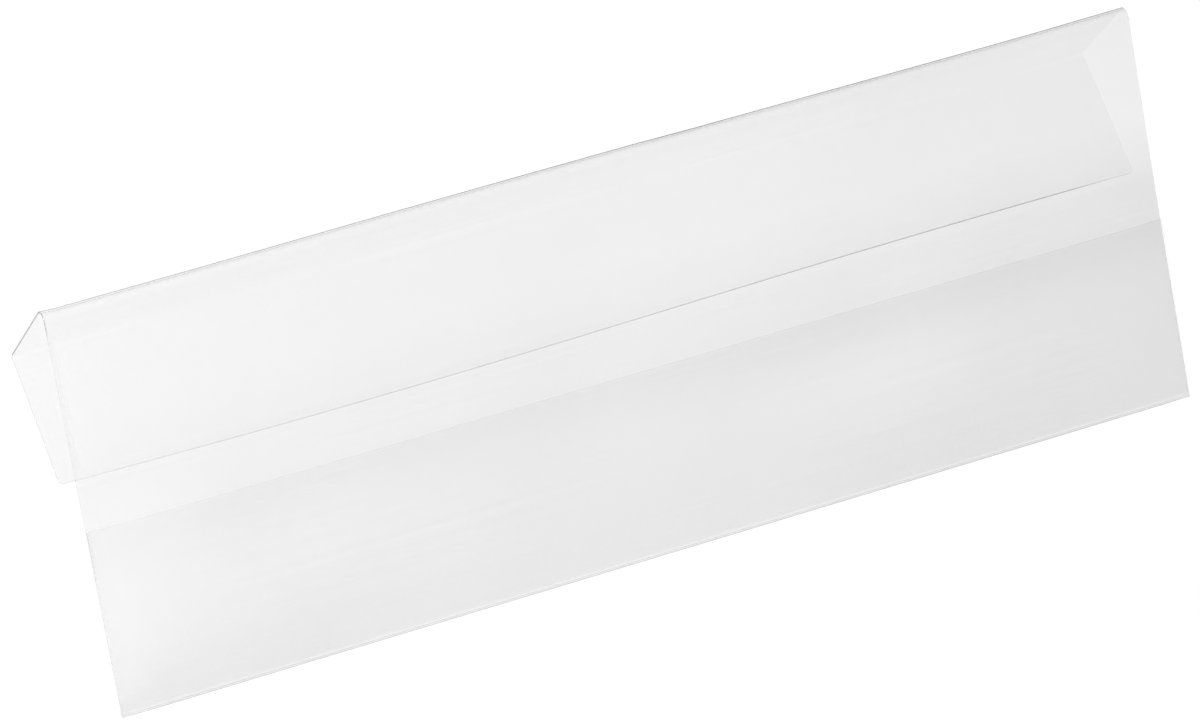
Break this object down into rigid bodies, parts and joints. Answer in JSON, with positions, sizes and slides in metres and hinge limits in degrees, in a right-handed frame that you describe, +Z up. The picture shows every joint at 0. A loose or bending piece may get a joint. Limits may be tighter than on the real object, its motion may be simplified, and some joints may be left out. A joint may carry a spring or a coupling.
{
  "type": "document pocket",
  "caption": "Wide clear film pocket for a strip of paper: low open front, folded bottom, welded ends and a creased hook along the top that hangs over a rim.",
  "frame": {"origin": "rim seat: a point on the underside of the top strip, midway along the width and 8 mm from the ridge fold line", "axes": "+X along the width to the right as seen from the front, +Y backwards from the pocket towards the hook, +Z up with the back panel upright"},
  "size_m": [0.216, 0.0225, 0.0746],
  "materials": {
    "clear_film": "clear smooth plastic film with a soft gloss",
    "creased_film": "clear film, slightly clouded where it is creased",
    "welded_film": "clear film, clouded where it is welded"
  },
  "bodies": {
    "hook_strip": {"top_strip": "clear_film", "ridge_crease": "creased_film", "rear_crease": "creased_film"},
    "pocket": {"back_panel": "clear_film", "front_panel": "clear_film", "bottom_fold": "creased_film", "weld_left": "welded_film", "weld_right": "welded_film"},
    "flap": {"rear_flap": "clear_film"}
  },
  "joints": [
    {"name": "ridge_fold", "type": "hinge", "parent": "hook_strip", "child": "pocket", "pos_m": [0, -0.00624, 0.00307], "axis": [-1, 0, 0], "range_deg": [-6, 120], "stiffness_Nm_per_rad": 0.02, "deforming": ["ridge_crease"]},
    {"name": "rear_fold", "type": "hinge", "parent": "hook_strip", "child": "flap", "pos_m": [0, 0.01452, -0.00844], "axis": [1, 0, 0], "range_deg": [-10, 93], "stiffness_Nm_per_rad": 0.02, "deforming": ["rear_crease"]}
  ]
}
